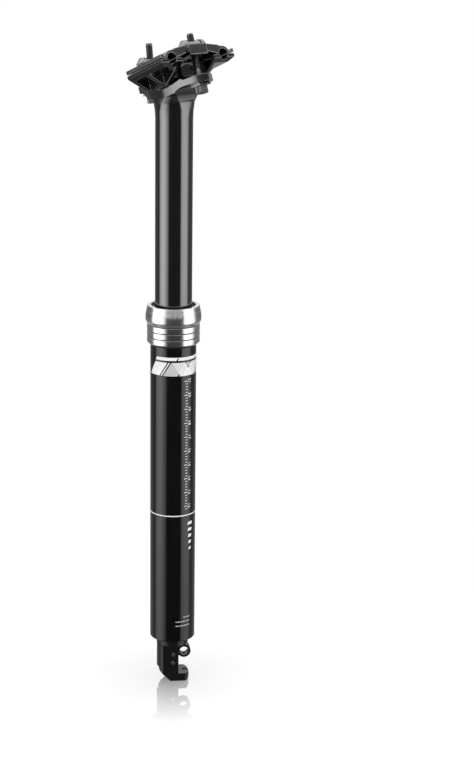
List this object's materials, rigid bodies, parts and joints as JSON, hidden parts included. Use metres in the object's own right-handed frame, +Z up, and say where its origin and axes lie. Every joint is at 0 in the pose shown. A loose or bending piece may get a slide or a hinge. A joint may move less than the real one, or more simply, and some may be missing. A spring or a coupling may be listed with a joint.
{
  "type": "dropper seatpost",
  "caption": "Height-adjustable bicycle seatpost: sliding post in a fixed tube on a gas spring, two-bolt rail clamp on a forged head, cable lever in the foot.",
  "frame": {"origin": "on the post's axis at the underside of the collar, the upper end of the wall that the bicycle's seat tube holds", "axes": "+X to the front of the bicycle, +Y to its left, +Z up along the post"},
  "size_m": [0.0661, 0.062, 0.459],
  "materials": {
    "gloss_black": "gloss black anodised",
    "foot_black": "satin black anodised",
    "collar_silver": "turned, clear anodised",
    "clamp_grey": "satin grey anodised",
    "cartridge_silver": "satin, clear anodised",
    "bright_steel": "satin stainless",
    "rod_steel": "ground and plated",
    "spring_steel": "drawn wire",
    "brass": "machined",
    "bushing_polymer": "matte",
    "seal_rubber": "matte"
  },
  "bodies": {
    "tube": {"outer_tube": "gloss_black", "lock_collar": "collar_silver", "wiper_seal": "seal_rubber", "upper_bushing": "bushing_polymer", "end_plug": "cartridge_silver", "actuator_bracket": "foot_black", "lever_pin": "bright_steel", "stop_pin": "bright_steel", "return_spring": "spring_steel", "cartridge_rod": "rod_steel", "main_piston": "cartridge_silver", "piston_ring": "seal_rubber"},
    "post": {"stanchion": "gloss_black", "guide_keys": "brass", "lower_bushing": "bushing_polymer", "cartridge_tube": "cartridge_silver", "seal_head": "cartridge_silver", "rod_seal": "seal_rubber", "cartridge_cap": "cartridge_silver", "cartridge_clip": "spring_steel"},
    "float": {"floating_piston": "bushing_polymer", "floating_ring": "seal_rubber"},
    "lever": {"actuator_lever": "foot_black"},
    "valve": {"push_pin": "rod_steel", "valve_poppet": "brass"},
    "clamp": {"lower_cradle": "gloss_black", "upper_clamp": "clamp_grey"},
    "front_screw": {"front_bolt": "bright_steel", "front_washer": "bright_steel"},
    "rear_screw": {"rear_bolt": "bright_steel", "rear_washer": "bright_steel"},
    "front_barrel": {"front_nut": "bright_steel"},
    "rear_barrel": {"rear_nut": "bright_steel"}
  },
  "joints": [
    {"name": "post_slide", "type": "slide", "parent": "tube", "child": "post", "axis": [0, 0, 1], "range_m": [-0.125, 0], "stiffness_N_per_m": 400, "springref_m": 0.5},
    {"name": "float_slide", "type": "slide", "parent": "post", "child": "float", "axis": [0, 0, 1], "range_m": [0, 0.0275]},
    {"name": "cradle_tilt", "type": "hinge", "parent": "post", "child": "clamp", "pos_m": [0.01076, 0, 0.2192], "axis": [0, 1, 0], "range_deg": [-5, 5]},
    {"name": "front_bolt_swing", "type": "hinge", "parent": "post", "child": "front_screw", "pos_m": [0.02178, 0, 0.16453], "axis": [0, 1, 0], "range_deg": [-6, 6]},
    {"name": "front_nut_slide", "type": "slide", "parent": "front_screw", "child": "front_barrel", "axis": [0.1321, 0, 0.9912], "range_m": [-0.0016, 0.0016]},
    {"name": "rear_bolt_swing", "type": "hinge", "parent": "post", "child": "rear_screw", "pos_m": [-0.02779, 0, 0.17575], "axis": [0, 1, 0], "range_deg": [-4.3, 4.3]},
    {"name": "rear_nut_slide", "type": "slide", "parent": "rear_screw", "child": "rear_barrel", "axis": [0.3319, 0, 0.9433], "range_m": [-0.0019, 0.0019]},
    {"name": "lever_pull", "type": "hinge", "parent": "tube", "child": "lever", "pos_m": [0, 0, -0.2269], "axis": [0.8251, -0.565, 0], "range_deg": [0, 40]},
    {"name": "valve_lift", "type": "slide", "parent": "tube", "child": "valve", "axis": [0, 0, 1], "range_m": [0, 0.00181], "stiffness_N_per_m": 20, "springref_m": -0.006, "deforming": ["return_spring"]}
  ],
  "couplings": [
    {"joint": "float_slide", "follows": "post_slide", "ratio": -0.2189},
    {"joint": "front_bolt_swing", "follows": "cradle_tilt", "ratio": -1.19},
    {"joint": "front_nut_slide", "follows": "cradle_tilt", "m_per_rad": -0.018},
    {"joint": "rear_bolt_swing", "follows": "cradle_tilt", "ratio": -0.84},
    {"joint": "rear_nut_slide", "follows": "cradle_tilt", "m_per_rad": 0.0215},
    {"joint": "lever_pull", "follows": "valve_lift", "rad_per_m": 385.65}
  ]
}
